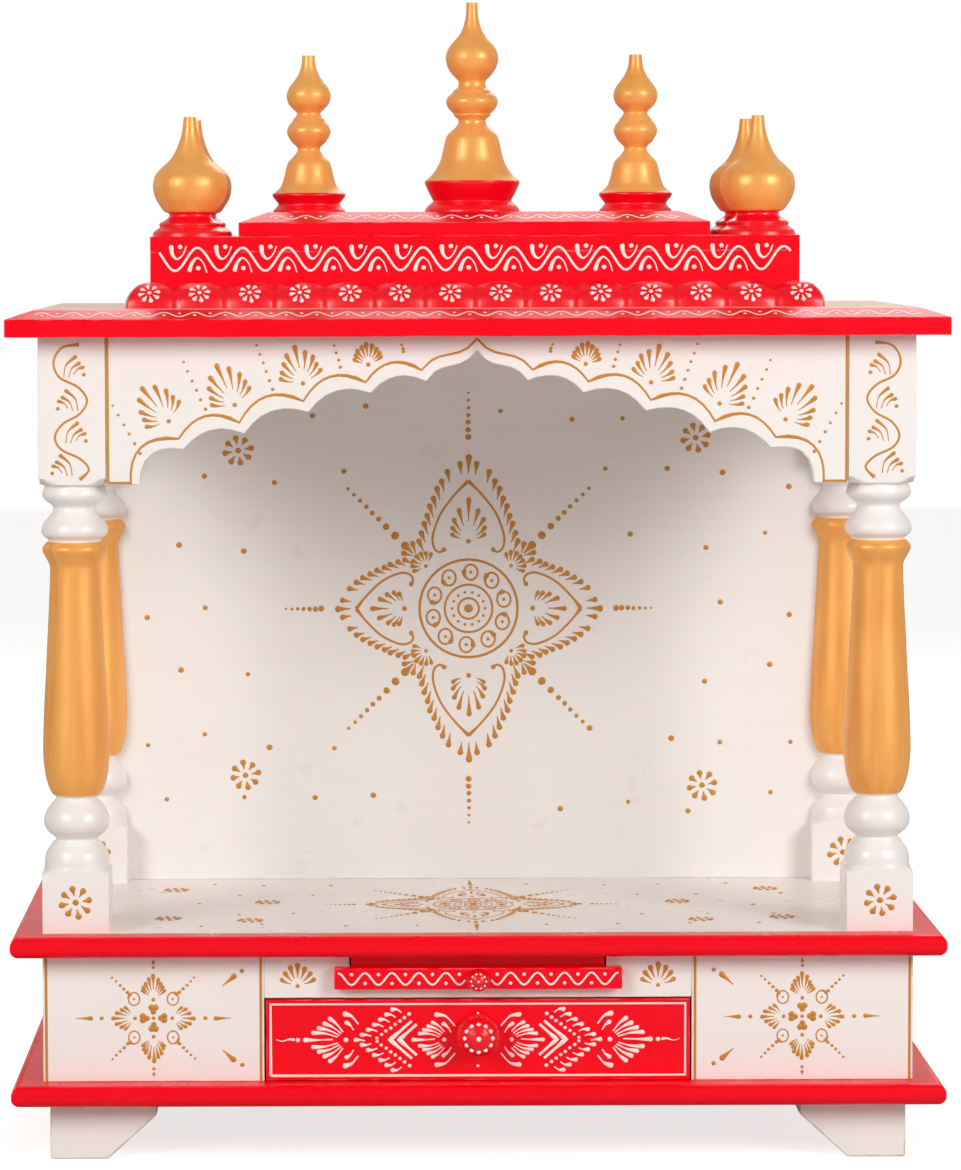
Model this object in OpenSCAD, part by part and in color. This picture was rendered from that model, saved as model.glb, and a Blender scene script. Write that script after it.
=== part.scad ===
// Wooden home temple: cabinet with drawer and pull-out tray, four turned
// pillars, scalloped arches, and a tiered roof with finials and domes.
// Origin at the middle of the footprint, on the floor. +Z up, front toward -Y.

/* [Boards] */
// Width of the plinth, base and roof boards
board_w = 610; // [560:5:740]
// Depth of the plinth, base and roof boards
board_d = 300; // [250:5:360]
// Thickness of the plinth and base boards
board_t = 14; // [10:1:20]
// How far the boards stand past the cabinet, front and sides
overhang = 20; // [12:1:30]
// Thickness of the cabinet's panels
panel_t = 14; // [9:1:18]

/* [Feet] */
// Height of the bracket feet
foot_h = 38; // [25:1:70]
// Length of a foot along its top
foot_w = 70; // [55:1:100]
// Length of a foot on the floor
foot_toe = 38; // [25:1:50]
// Depth of a foot, front to back
foot_d = 40; // [25:1:70]
// Straight part of a foot's inner end, under the plinth
foot_lip = 9; // [4:1:15]
// How far the feet stand in from the cabinet's faces
foot_inset = 4; // [0:1:10]

/* [Cabinet] */
// Height of the cabinet between the plinth and base boards
cabinet_h = 84; // [75:1:120]
// Width of the drawer's opening
drawer_open_w = 280; // [220:5:340]
// Height of the rail above the drawer
rail_h = 29; // [24:1:36]
// Gap around the drawer and the tray
play = 1; // [0.6:0.1:2]
// Gap under the drawer and the tray
seat_gap = 0.3; // [0.2:0.1:0.6]

/* [Drawer] */
// Thickness of the drawer's sides and back
drawer_wall = 9; // [6:1:12]
// Thickness of the drawer's bottom
drawer_floor = 4; // [3:1:6]
// Room behind the drawer when it is shut
drawer_rear_gap = 27; // [5:1:60]
// Height of the drawer's sides
drawer_side_h = 42; // [30:1:44]
// Diameter of the drawer's ball knob
knob_d = 28; // [20:1:36]
// Height of the knob's axis above the middle of the opening
knob_up = 4; // [-8:1:8]
// Width of the guides beside the drawer
guide_w = 12; // [8:1:20]
// Height of the guides beside the drawer
guide_h = 16; // [8:1:30]

/* [Tray] */
// Width of the pull-out tray
tray_w = 166; // [120:2:190]
// Thickness of the tray
tray_t = 14; // [10:1:16]
// Room behind the tray when it is shut
tray_rear_gap = 51; // [5:1:80]
// How far the tray's front strip reaches past its board at each side
tray_ear = 11; // [5:1:20]
// Height of the tray's front strip
tray_front_h = 14; // [10:1:18]
// Thickness of the tray's front strip
tray_front_t = 10; // [6:1:12]
// How far the strip hangs below the tray's board
tray_drop = 7; // [3:1:9]
// Diameter of the tray's ball knob
tray_knob_d = 15; // [10:1:20]
// Width and thickness of the ledges that carry the tray
runner_ledge = 8; // [5:1:9]

/* [Pillars] */
// Side of the pillars' square stock
pillar_w = 44; // [38:1:54]
// Height of the pillars
pillar_h = 390; // [330:5:450]
// Height of the square block at a pillar's foot
foot_block_h = 42; // [35:1:60]
// Height of the square block at a pillar's top
top_block_h = 99; // [90:1:120]
// Thickness of the back panel
back_t = 6; // [4:1:8]
// Depth of the grooves that hold the back panel
groove_d = 12; // [6:1:12]

/* [Arches] */
// Thickness of the arches
arch_t = 12; // [8:1:16]
// Height of the arches
arch_h = 96; // [80:1:110]
// Wood left above the front arch's point
arch_crown = 9.5; // [6:0.5:15]
// Wood left above the side arches' points
side_crown = 26; // [15:1:40]
// Width of the arches' feet
arch_foot = 22; // [10:1:30]

/* [Roof] */
// Thickness of the roof board
roof_t = 17.5; // [14:0.5:24]
// Height of the roof board's bevel
roof_bevel_h = 6; // [3:0.5:9]
// Width of the roof board's bevel
roof_bevel_w = 18; // [10:1:24]
// Width of the box above the roof
tier_w = 428; // [380:2:460]
// Depth of the box above the roof
tier_d = 150; // [120:2:190]
// Height of the box above the roof
tier_h = 47; // [35:1:70]
// Thickness of the box's boards
tier_t = 10; // [6:1:14]
// Height of the petal moulding
petal_h = 17; // [10:1:25]
// How far the petal moulding stands out
petal_out = 16.5; // [10:0.5:22]
// Petals along the front
petals_front = 14; // [10:1:18]
// Petals along each side
petals_side = 6; // [4:1:8]
// Depth of the grooves between petals
petal_groove = 3; // [1:0.5:4]
// Distance of the upper slab's ends from the box's ends
slab_end_in = 58; // [52:1:90]
// Distance of the upper slab's front and back from the box's
slab_front_in = 12; // [4:1:30]
// Thickness of the upper slab
slab_t = 16; // [12:1:24]
// Height of the slab's bevel
slab_bevel_h = 7; // [3:0.5:10]
// Width of the slab's bevel
slab_bevel_w = 19; // [10:1:22]

/* [Finials] */
// Height of the middle finial
finial_h = 140; // [110:1:180]
// Height of the side finials
side_finial_h = 105; // [80:1:140]
// Distance of the side finials' axes from the slab's ends
side_finial_in = 46; // [44:1:60]
// Height of the corner domes
dome_h = 79; // [60:1:100]
// Distance of the domes' axes from the box's faces
dome_inset = 25.7; // [25.5:0.1:32]

/* [Hidden] */
$fn = 64;

// Heights of the floors and boards
plinth_z = foot_h;
cabinet_z = plinth_z + board_t;
base_z = cabinet_z + cabinet_h;
shrine_z = base_z + board_t;
roof_z = shrine_z + pillar_h;
tier_z = roof_z + roof_t;
slab_z = tier_z + tier_h;
finial_z = slab_z + slab_t;

// Faces and planes in plan
back_y = board_d / 2;
body_w = board_w - 2 * overhang;
body_front = -board_d / 2 + overhang;
pillar_x = body_w / 2 - pillar_w / 2;
pillar_front_y = body_front + pillar_w / 2;
pillar_back_y = back_y - pillar_w / 2;
bay_half_x = pillar_x - pillar_w / 2;
bay_half_y = (pillar_back_y - pillar_front_y - pillar_w) / 2;
side_mid_y = (pillar_back_y + pillar_front_y) / 2;

// Drawer and tray fits
opening_h = cabinet_h - rail_h;
drawer_z = cabinet_z + seat_gap;
drawer_front_w = drawer_open_w - 2 * play;
guide_x = drawer_open_w / 2 - play * 4;
drawer_box_w = 2 * (guide_x - play);
inner_back_y = back_y - panel_t;
inner_front_y = body_front + panel_t;
drawer_l = inner_back_y - drawer_rear_gap - inner_front_y;
tray_l = inner_back_y - tray_rear_gap - body_front;
tray_z = base_z - play - tray_t;
slot_w = tray_w + 2 * play;
slot_z = tray_z - play;
ledge_z = tray_z - seat_gap;
knob_z = cabinet_z + opening_h / 2 + knob_up;

// Roof
tier_half_w = tier_w / 2;
tier_half_d = tier_d / 2;
nose_r = board_t / 2 - 1;
slab_w = tier_w - 2 * slab_end_in;
slab_d = tier_d - 2 * slab_front_in;
side_finial_x = slab_w / 2 - side_finial_in;
dome_x = tier_half_w - dome_inset;
dome_y = tier_half_d - dome_inset;

// A turned outline through stations [height, radius]: between two stations the
// radius follows half a cosine wave, so each station is a bead or a neck.
function swell(stations, steps) = [
    for (i = [0 : len(stations) - 2], k = [0 : steps - 1])
        let (low = stations[i], high = stations[i + 1], t = k / steps)
            [low[1] + (high[1] - low[1]) * (1 - cos(180 * t)) / 2, low[0] + (high[0] - low[0]) * t]];

function last_station(stations) = [stations[len(stations) - 1][1], stations[len(stations) - 1][0]];

module turned(stations, steps = 3) {
    top = last_station(stations);
    rotate_extrude()
        polygon(concat([[0, stations[0][0]]], swell(stations, steps), [top, [0, top[1]]]));
}

// Stations stretched to a new height
function stretched(stations, h) =
    let (full = stations[len(stations) - 1][0]) [for (s = stations) [s[0] * h / full, s[1]]];

// A board whose front and side edges are rounded
module nosed_board(w, d, t) {
    intersection() {
        translate([-w / 2, 0, 0])
            rotate([90, 0, 90])
                linear_extrude(w)
                    nosed_outline(-d / 2, d / 2, t, false);
        translate([0, d / 2, 0])
            rotate([90, 0, 0])
                linear_extrude(d)
                    nosed_outline(-w / 2, w / 2, t, true);
    }
}

// Cross-section of a board from a to b, rounded at a, and at b where both is true
module nosed_outline(a, b, t, both) {
    end = both ? b - nose_r : b;
    translate([a + nose_r, 0])
        square([end - a - nose_r, t]);
    translate([a, nose_r])
        square([b - a, t - 2 * nose_r]);
    for (x = both ? [a + nose_r, b - nose_r] : [a + nose_r], z = [nose_r, t - nose_r])
        translate([x, z])
            circle(nose_r);
}

// A board whose top edges are bevelled, at the back too where back is true
module bevelled_board(w, d, t, bevel_w, bevel_h, back) {
    side = t - bevel_h;
    back_h = back ? side : t;
    back_in = back ? bevel_w : 0;
    intersection() {
        translate([-w / 2, 0, 0])
            rotate([90, 0, 90])
                linear_extrude(w)
                    polygon([[-d / 2, 0], [d / 2, 0], [d / 2, back_h], [d / 2 - back_in, t],
                             [-d / 2 + bevel_w, t], [-d / 2, side]]);
        translate([0, d / 2, 0])
            rotate([90, 0, 0])
                linear_extrude(d)
                    polygon([[-w / 2, 0], [w / 2, 0], [w / 2, side], [w / 2 - bevel_w, t],
                             [-w / 2 + bevel_w, t], [-w / 2, side]]);
    }
}

module foot(x_side, y_side) {
    mid_y = y_side < 0 ? body_front + foot_inset + foot_d / 2 : back_y - foot_inset - foot_d / 2;
    color("white")
        translate([x_side * (body_w / 2 - foot_inset), mid_y + foot_d / 2, 0])
            scale([-x_side, 1, 1])
                rotate([90, 0, 0])
                    linear_extrude(foot_d)
                        polygon([[0, 0], [foot_toe, 0], [foot_w, foot_h - foot_lip],
                                 [foot_w, foot_h], [0, foot_h]]);
}

module foot_front_left() { foot(-1, -1); }
module foot_front_right() { foot(1, -1); }
module foot_back_left() { foot(-1, 1); }
module foot_back_right() { foot(1, 1); }

module plinth_board() {
    color("crimson")
        translate([0, 0, plinth_z])
            nosed_board(board_w, board_d, board_t);
}

module base_board() {
    color("crimson")
        translate([0, 0, base_z])
            nosed_board(board_w, board_d, board_t);
}

module cabinet_front_panel(side) {
    w = (body_w - drawer_open_w) / 2;
    color("white")
        translate([side * (drawer_open_w / 2 + w / 2) - w / 2, body_front, cabinet_z])
            cube([w, panel_t, cabinet_h]);
}

module cabinet_front_left() { cabinet_front_panel(-1); }
module cabinet_front_right() { cabinet_front_panel(1); }

module cabinet_front_rail() {
    color("white")
        difference() {
            translate([-drawer_open_w / 2, body_front, base_z - rail_h])
                cube([drawer_open_w, panel_t, rail_h]);
            translate([-slot_w / 2, body_front - 1, slot_z])
                cube([slot_w, panel_t + 2, base_z - slot_z + 1]);
        }
}

module cabinet_side(side) {
    color("white")
        translate([side * (body_w / 2 - panel_t / 2) - panel_t / 2, inner_front_y, cabinet_z])
            cube([panel_t, inner_back_y - inner_front_y, cabinet_h]);
}

module cabinet_side_left() { cabinet_side(-1); }
module cabinet_side_right() { cabinet_side(1); }

module cabinet_back() {
    color("white")
        translate([-body_w / 2, inner_back_y, cabinet_z])
            cube([body_w, panel_t, cabinet_h]);
}

// Battens that keep the drawer straight, from behind its front to the cabinet's back
module drawer_guides() {
    start = inner_front_y + 3 * play;
    color("burlywood")
        for (side = [-1, 1])
            translate([side * (guide_x + guide_w / 2) - guide_w / 2, start, cabinet_z])
                cube([guide_w, inner_back_y - start, guide_h]);
}

// L-shaped battens under the base board; their ledges carry the tray's edges
module tray_runners() {
    start = inner_front_y;
    color("burlywood")
        for (side = [-1, 1])
            translate([0, start, 0])
                scale([side, 1, 1])
                    translate([0, inner_back_y - start, 0])
                        rotate([90, 0, 0])
                            linear_extrude(inner_back_y - start)
                                polygon([
                                    [slot_w / 2 - runner_ledge, ledge_z - runner_ledge],
                                    [slot_w / 2 + runner_ledge, ledge_z - runner_ledge],
                                    [slot_w / 2 + runner_ledge, base_z],
                                    [slot_w / 2, base_z],
                                    [slot_w / 2, ledge_z],
                                    [slot_w / 2 - runner_ledge, ledge_z]]);
}

module drawer_front() {
    color("crimson")
        translate([-drawer_front_w / 2, body_front, drawer_z])
            cube([drawer_front_w, panel_t, opening_h - seat_gap - play]);
}

module drawer_side(side) {
    color("burlywood")
        translate([side * (drawer_box_w - drawer_wall) / 2 - drawer_wall / 2,
                   inner_front_y, drawer_z])
            cube([drawer_wall, drawer_l, drawer_side_h]);
}

module drawer_side_left() { drawer_side(-1); }
module drawer_side_right() { drawer_side(1); }

module drawer_back() {
    w = drawer_box_w - 2 * drawer_wall;
    color("burlywood")
        translate([-w / 2, inner_front_y + drawer_l - drawer_wall, drawer_z])
            cube([w, drawer_wall, drawer_side_h]);
}

module drawer_bottom() {
    w = drawer_box_w - 2 * drawer_wall;
    color("burlywood")
        translate([-w / 2, inner_front_y, drawer_z + drawer_floor])
            cube([w, drawer_l - drawer_wall, drawer_floor]);
}

// A turned ball on a short neck, pointing to the front from the plane y = 0
module ball_knob(d, neck_l) {
    rotate([90, 0, 0]) {
        cylinder(h = neck_l + d / 8, d = d * 0.5);
        translate([0, 0, neck_l + d / 2 - d / 16])
            sphere(d = d);
    }
}

module drawer_knob() {
    color("gold")
        translate([0, body_front, knob_z])
            difference() {
                ball_knob(knob_d, -knob_d / 12);
                translate([-knob_d, 0, -knob_d])
                    cube(2 * knob_d);
            }
}

module tray_board() {
    color("white")
        translate([-tray_w / 2, body_front, tray_z])
            cube([tray_w, tray_l, tray_t]);
}

module tray_front() {
    w = tray_w + 2 * tray_ear;
    color("crimson")
        translate([-w / 2, body_front - tray_front_t, tray_z - tray_drop])
            cube([w, tray_front_t, tray_front_h]);
}

module tray_knob() {
    color("gold")
        translate([0, body_front - tray_front_t, tray_z - tray_drop + tray_front_h / 2])
            difference() {
                ball_knob(tray_knob_d, -tray_knob_d / 12);
                translate([-tray_knob_d, 0, -tray_knob_d])
                    cube(2 * tray_knob_d);
            }
}

// A pillar turned from square stock: blocks at both ends, lathe-cut between
half = pillar_w / 2;
corner = half * 1.5;
shaft_low = foot_block_h;
shaft_high = pillar_h - top_block_h;
foot_turning = [
    [0, half * 0.98], [5, half * 0.98], [14, half * 0.64], [24, half * 0.96],
    [34, half * 0.62], [40, half * 0.71]];
top_turning = [
    [0, half * 0.8], [10, half * 0.98], [17, half * 0.78], [24, half * 0.96],
    [35, half * 0.66], [41, half * 0.94], [46, half * 0.98]];
waist_low = half * 0.74;
waist_high = half * 0.81;
belly = half * 0.98;

module pillar_blank() {
    low = shaft_low + foot_turning[len(foot_turning) - 1][0];
    high = shaft_high - top_turning[len(top_turning) - 1][0];
    span = high - low;
    stations = concat(
        [for (s = foot_turning) [s[0] + shaft_low, s[1]]],
        [[low + 6, waist_low], [low + span * 0.17, belly], [low + span * 0.8, waist_high]],
        [for (s = top_turning) [s[0] + high, s[1]]]);
    translate([-half, -half, 0])
        cube([pillar_w, pillar_w, shaft_low - 4]);
    translate([-half, -half, shaft_high + 4])
        cube([pillar_w, pillar_w, pillar_h - shaft_high - 4]);
    for (block = [[shaft_low - 4, 4, corner, belly], [shaft_high, 4, belly, corner]])
        intersection() {
            translate([-half, -half, block[0]])
                cube([pillar_w, pillar_w, block[1]]);
            translate([0, 0, block[0]])
                cylinder(h = block[1], r1 = block[2], r2 = block[3]);
        }
    turned(stations);
}

module front_pillar(side) {
    color("gold")
        translate([side * pillar_x, pillar_front_y, shrine_z])
            pillar_blank();
}

module back_pillar(side) {
    groove_w = back_t + 0.2;
    color("gold")
        translate([side * pillar_x, pillar_back_y, shrine_z])
            difference() {
                pillar_blank();
                translate([-side * (half - groove_d / 2) - groove_d / 2 - 0.1, -groove_w / 2, -1])
                    cube([groove_d + 0.2, groove_w, pillar_h + 2]);
            }
}

module pillar_front_left() { front_pillar(-1); }
module pillar_front_right() { front_pillar(1); }
module pillar_back_left() { back_pillar(-1); }
module pillar_back_right() { back_pillar(1); }

module back_panel() {
    w = 2 * (bay_half_x + groove_d - 0.2);
    color("white")
        translate([-w / 2, pillar_back_y - back_t / 2, shrine_z])
            cube([w, back_t, pillar_h]);
}

// Cusps of the scalloped edges, as shares of the half span and of the rise
FRONT_CUSPS = [[1, 0], [0.87, 0.26], [0.69, 0.38], [0.5, 0.54], [0.315, 0.68], [0.15, 0.77]];
SIDE_CUSPS = [[1, 0], [0.8, 0.36], [0.54, 0.58], [0.26, 0.77]];

// Points of an arc from a to b that bulges up by a share of its chord
function scallop(a, b, bulge, steps) = [
    for (k = [0 : steps - 1])
        let (t = k / steps, lift = bulge * 4 * t * (1 - t), dx = b[0] - a[0], dy = b[1] - a[1])
            [a[0] + dx * t + abs(dy) * lift * sign(-dx), a[1] + dy * t + abs(dx) * lift]];

// The arch's edge from one foot to the apex: scallops, then an ogee to the point
function half_edge(cusps, span, rise) =
    let (pts = [for (c = cusps) [c[0] * span, c[1] * rise]], last = pts[len(pts) - 1])
        concat(
            [for (i = [0 : len(pts) - 2]) each scallop(pts[i], pts[i + 1], i == 0 ? 0.3 : 0.19, 6)],
            [for (k = [0 : 6])
                let (t = k / 6, s = 0.3 * t + 0.7 * (0.5 + 4 * pow(t - 0.5, 3)))
                    [last[0] * (1 - t), last[1] + (rise - last[1]) * s]]);

module arch_board(half_bay, cusps, crown) {
    edge = half_edge(cusps, half_bay - arch_foot, arch_h - crown);
    flipped = [for (i = [len(edge) - 2 : -1 : 0]) [-edge[i][0], edge[i][1]]];
    linear_extrude(arch_t)
        polygon(concat(edge, flipped,
                       [[-half_bay, 0], [-half_bay, arch_h], [half_bay, arch_h], [half_bay, 0]]));
}

module arch_front() {
    color("white")
        translate([0, body_front + arch_t, roof_z - arch_h])
            rotate([90, 0, 0])
                arch_board(bay_half_x, FRONT_CUSPS, arch_crown);
}

module side_arch(side) {
    x = side < 0 ? -body_w / 2 : body_w / 2 - arch_t;
    color("white")
        translate([x, side_mid_y, roof_z - arch_h])
            rotate([90, 0, 90])
                arch_board(bay_half_y, SIDE_CUSPS, side_crown);
}

module arch_side_left() { side_arch(-1); }
module arch_side_right() { side_arch(1); }

module roof_board() {
    color("crimson")
        translate([0, 0, roof_z])
            bevelled_board(board_w, board_d, roof_t, roof_bevel_w, roof_bevel_h, false);
}

// One mitred length of ovolo moulding, its back at y = 0, grooved into petals
module petal_row(inner, count) {
    outer = inner + 2 * petal_out;
    pitch = outer / count;
    difference() {
        translate([-outer / 2, 0, 0])
            rotate([90, 0, 90])
                linear_extrude(outer)
                    polygon(concat([[0, 0], [-petal_out, 0]],
                        [for (k = [1 : 6]) [-petal_out * cos(15 * k), petal_h * sin(15 * k)]]));
        for (side = [-1, 1])
            translate([side * inner / 2, 0, -1])
                linear_extrude(petal_h + 2)
                    polygon([[0, 0], [side * petal_out * 3, -petal_out * 3], [side * petal_out * 3, 1],
                             [0, 1]]);
        for (i = [1 : count - 1])
            translate([-outer / 2 + i * pitch, -petal_out, 0])
                rotate([0, 0, 45])
                    translate([-petal_groove / 2, -petal_groove / 2, -1])
                        cube([petal_groove, petal_groove, petal_h + 2]);
    }
}

module petals_front_row() {
    color("crimson")
        translate([0, -tier_half_d, tier_z])
            petal_row(tier_w, petals_front);
}

module petals_back_row() {
    color("crimson")
        translate([0, tier_half_d, tier_z])
            rotate([0, 0, 180])
                petal_row(tier_w, petals_front);
}

module petals_left_row() {
    color("crimson")
        translate([-tier_half_w, 0, tier_z])
            rotate([0, 0, -90])
                petal_row(tier_d, petals_side);
}

module petals_right_row() {
    color("crimson")
        translate([tier_half_w, 0, tier_z])
            rotate([0, 0, 90])
                petal_row(tier_d, petals_side);
}

module tier_wall_x(side) {
    color("crimson")
        translate([-tier_half_w, side * (tier_half_d - tier_t / 2) - tier_t / 2, tier_z])
            cube([tier_w, tier_t, tier_h - tier_t]);
}

module tier_wall_y(side) {
    color("crimson")
        translate([side * (tier_half_w - tier_t / 2) - tier_t / 2, -tier_half_d + tier_t, tier_z])
            cube([tier_t, tier_d - 2 * tier_t, tier_h - tier_t]);
}

module tier_front() { tier_wall_x(-1); }
module tier_back() { tier_wall_x(1); }
module tier_left() { tier_wall_y(-1); }
module tier_right() { tier_wall_y(1); }

module tier_top() {
    color("crimson")
        translate([-tier_half_w, -tier_half_d, slab_z - tier_t])
            cube([tier_w, tier_d, tier_t]);
}

module upper_slab() {
    color("crimson")
        translate([0, 0, slab_z])
            bevelled_board(slab_w, slab_d, slab_t, slab_bevel_w, slab_bevel_h, true);
}

// Turned outlines of the finials and domes, [height, radius]
MIDDLE_FINIAL = [
    [0, 32], [9, 27], [20, 32], [35, 21], [46, 18], [60, 9.7], [64, 9.7], [74, 17.5],
    [87, 8.8], [90, 8.8], [106, 17.7], [122, 9], [133, 4.2], [140, 4]];
SIDE_FINIAL = [
    [0, 24.5], [6, 21], [13, 24.7], [23, 18.4], [33, 15], [44, 8.5], [55, 14.7], [66, 8.4],
    [80, 15], [92, 8.5], [100, 4.6], [105, 4.4]];
CORNER_DOME = [
    [0, 25.2], [5, 21], [9, 18], [14, 13.8], [36, 24.7], [55, 10.5], [66, 5], [79, 3.7]];

module finial_middle() {
    color("goldenrod")
        translate([0, 0, finial_z])
            turned(stretched(MIDDLE_FINIAL, finial_h));
}

module side_finial(side) {
    color("goldenrod")
        translate([side * side_finial_x, 0, finial_z])
            turned(stretched(SIDE_FINIAL, side_finial_h));
}

module finial_left() { side_finial(-1); }
module finial_right() { side_finial(1); }

module corner_dome(x_side, y_side) {
    color("goldenrod")
        translate([x_side * dome_x, y_side * dome_y, slab_z])
            turned(stretched(CORNER_DOME, dome_h));
}

module dome_front_left() { corner_dome(-1, -1); }
module dome_front_right() { corner_dome(1, -1); }
module dome_back_left() { corner_dome(-1, 1); }
module dome_back_right() { corner_dome(1, 1); }

foot_front_left();
foot_front_right();
foot_back_left();
foot_back_right();
plinth_board();
cabinet_front_left();
cabinet_front_right();
cabinet_front_rail();
cabinet_side_left();
cabinet_side_right();
cabinet_back();
drawer_guides();
tray_runners();
drawer_front();
drawer_side_left();
drawer_side_right();
drawer_back();
drawer_bottom();
drawer_knob();
tray_board();
tray_front();
tray_knob();
base_board();
pillar_front_left();
pillar_front_right();
pillar_back_left();
pillar_back_right();
back_panel();
arch_front();
arch_side_left();
arch_side_right();
roof_board();
petals_front_row();
petals_back_row();
petals_left_row();
petals_right_row();
tier_front();
tier_back();
tier_left();
tier_right();
tier_top();
upper_slab();
finial_middle();
finial_left();
finial_right();
dome_front_left();
dome_front_right();
dome_back_left();
dome_back_right();
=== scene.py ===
import math
import random

import bmesh
import bpy
from mathutils import Matrix, Vector


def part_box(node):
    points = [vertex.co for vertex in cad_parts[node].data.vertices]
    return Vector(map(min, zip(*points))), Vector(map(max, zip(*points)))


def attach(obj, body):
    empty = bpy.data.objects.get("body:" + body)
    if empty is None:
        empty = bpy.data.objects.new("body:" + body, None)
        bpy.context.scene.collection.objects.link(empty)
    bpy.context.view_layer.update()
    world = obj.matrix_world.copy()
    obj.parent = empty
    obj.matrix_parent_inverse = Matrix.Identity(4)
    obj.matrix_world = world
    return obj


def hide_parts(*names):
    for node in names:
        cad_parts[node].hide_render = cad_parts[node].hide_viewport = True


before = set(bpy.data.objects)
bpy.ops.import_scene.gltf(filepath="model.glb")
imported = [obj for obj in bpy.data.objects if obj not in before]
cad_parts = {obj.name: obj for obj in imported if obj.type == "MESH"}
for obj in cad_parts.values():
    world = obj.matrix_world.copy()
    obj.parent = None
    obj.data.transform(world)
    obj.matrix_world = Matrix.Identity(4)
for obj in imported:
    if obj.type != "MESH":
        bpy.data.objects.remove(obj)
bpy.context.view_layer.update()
MM = 0.001

# ---------------------------------------------------------------- feet
# Four bracket feet sawn from thick board and painted white, screwed up into the plinth.
# Every painted board of the temple has its corners eased by sanding before the paint.


def film_group():
    """Brushed lacquer: patchy tone, brush marks, orange peel, and the paler colour where 'edge' is 1: wear on eased
    corners, and a painted highlight on the carved petals' tops.
    """
    group = bpy.data.node_groups.new("lacquer_film", "ShaderNodeTree")
    face = group.interface
    for name, kind, value in [("Colour", "NodeSocketColor", (1, 1, 1, 1)),
                              ("Deep", "NodeSocketColor", (1, 1, 1, 1)),
                              ("Wear and sheen", "NodeSocketColor", (1, 1, 1, 1)),
                              ("Stroke", "NodeSocketVector", (8, 8, 8)),
                              ("Gloss", "NodeSocketFloat", 0.3),
                              ("Marks", "NodeSocketFloat", 0.5)]:
        face.new_socket(name, in_out="INPUT", socket_type=kind).default_value = value
    face.new_socket("Colour", in_out="OUTPUT", socket_type="NodeSocketColor")
    face.new_socket("Roughness", in_out="OUTPUT", socket_type="NodeSocketFloat")
    face.new_socket("Normal", in_out="OUTPUT", socket_type="NodeSocketVector")
    new, join = group.nodes.new, group.links.new
    given, out = new("NodeGroupInput"), new("NodeGroupOutput")
    place = new("ShaderNodeTexCoord")

    def noise(scale, detail, vector=None):
        node = new("ShaderNodeTexNoise")
        node.inputs["Scale"].default_value = scale
        node.inputs["Detail"].default_value = detail
        join(vector or place.outputs["Object"], node.inputs["Vector"])
        return node.outputs["Fac"]

    def spread(value, low, high, to_low=0.0, to_high=1.0):
        node = new("ShaderNodeMapRange")
        for socket, number in zip(("From Min", "From Max", "To Min", "To Max"), (low, high, to_low, to_high)):
            node.inputs[socket].default_value = number
        join(value, node.inputs["Value"])
        return node.outputs["Result"]

    def blend(factor, a, b):
        node = new("ShaderNodeMix")
        node.data_type = "RGBA"
        join(factor, node.inputs["Factor"])
        join(a, node.inputs["A"])
        join(b, node.inputs["B"])
        return node.outputs["Result"]

    def times(a, b):
        node = new("ShaderNodeMath")
        node.operation = "MULTIPLY"
        join(a, node.inputs[0])
        join(b, node.inputs[1])
        return node.outputs[0]

    stretched = new("ShaderNodeVectorMath")
    stretched.operation = "MULTIPLY"
    join(place.outputs["Object"], stretched.inputs[0])
    join(given.outputs["Stroke"], stretched.inputs[1])
    brush = noise(1.0, 4.0, stretched.outputs["Vector"])
    patches = spread(noise(14.0, 1.0), 0.25, 0.8)
    streaks = spread(brush, 0.3, 0.8)
    toned = blend(times(patches, streaks), given.outputs["Colour"], given.outputs["Deep"])
    edge = new("ShaderNodeAttribute")
    edge.attribute_name = "edge"
    # Patches of the paler colour where 'edge' is set: worn paint on eased corners, and painted highlight on the petal
    # tops.
    wear_and_sheen_mask = times(edge.outputs["Fac"], spread(noise(60.0, 4.0), 0.46, 0.62))
    join(blend(wear_and_sheen_mask, toned, given.outputs["Wear and sheen"]), out.inputs["Colour"])
    haze = spread(noise(30.0, 3.0), 0.3, 0.7, -0.05, 0.07)
    gloss = new("ShaderNodeMath")
    join(given.outputs["Gloss"], gloss.inputs[0])
    join(haze, gloss.inputs[1])
    join(gloss.outputs[0], out.inputs["Roughness"])
    peel = new("ShaderNodeBump")
    peel.inputs["Strength"].default_value = 0.08
    peel.inputs["Distance"].default_value = 0.0004
    join(noise(420.0, 2.0), peel.inputs["Height"])
    marks = new("ShaderNodeBump")
    marks.inputs["Distance"].default_value = 0.0006
    join(given.outputs["Marks"], marks.inputs["Strength"])
    join(brush, marks.inputs["Height"])
    join(peel.outputs["Normal"], marks.inputs["Normal"])
    join(marks.outputs["Normal"], out.inputs["Normal"])
    return group


FILM = film_group()
ALONG_X, ALONG_Y, ALONG_Z = (9, 170, 170), (170, 9, 170), (170, 170, 9)


def lacquer(name, colour, deep, wear_and_sheen, stroke, gloss=0.32, coat=0.15, marks=0.2, metallic=0.0, shine=0.5):
    """A painted finish; the film group gives colour, roughness and normal."""
    material = bpy.data.materials.new(name)
    material.use_nodes = True
    tree = material.node_tree
    shader = tree.nodes["Principled BSDF"]
    film = tree.nodes.new("ShaderNodeGroup")
    film.node_tree = FILM
    for socket, value in (("Colour", (*colour, 1)), ("Deep", (*deep, 1)), ("Wear and sheen", (*wear_and_sheen, 1)),
                          ("Stroke", stroke), ("Gloss", gloss), ("Marks", marks)):
        film.inputs[socket].default_value = value
    tree.links.new(film.outputs["Colour"], shader.inputs["Base Color"])
    tree.links.new(film.outputs["Roughness"], shader.inputs["Roughness"])
    tree.links.new(film.outputs["Normal"], shader.inputs["Normal"])
    shader.inputs["Metallic"].default_value = metallic
    shader.inputs["Coat Weight"].default_value = coat
    shader.inputs["Coat Roughness"].default_value = 0.12
    shader.inputs["Specular IOR Level"].default_value = shine
    return material


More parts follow.
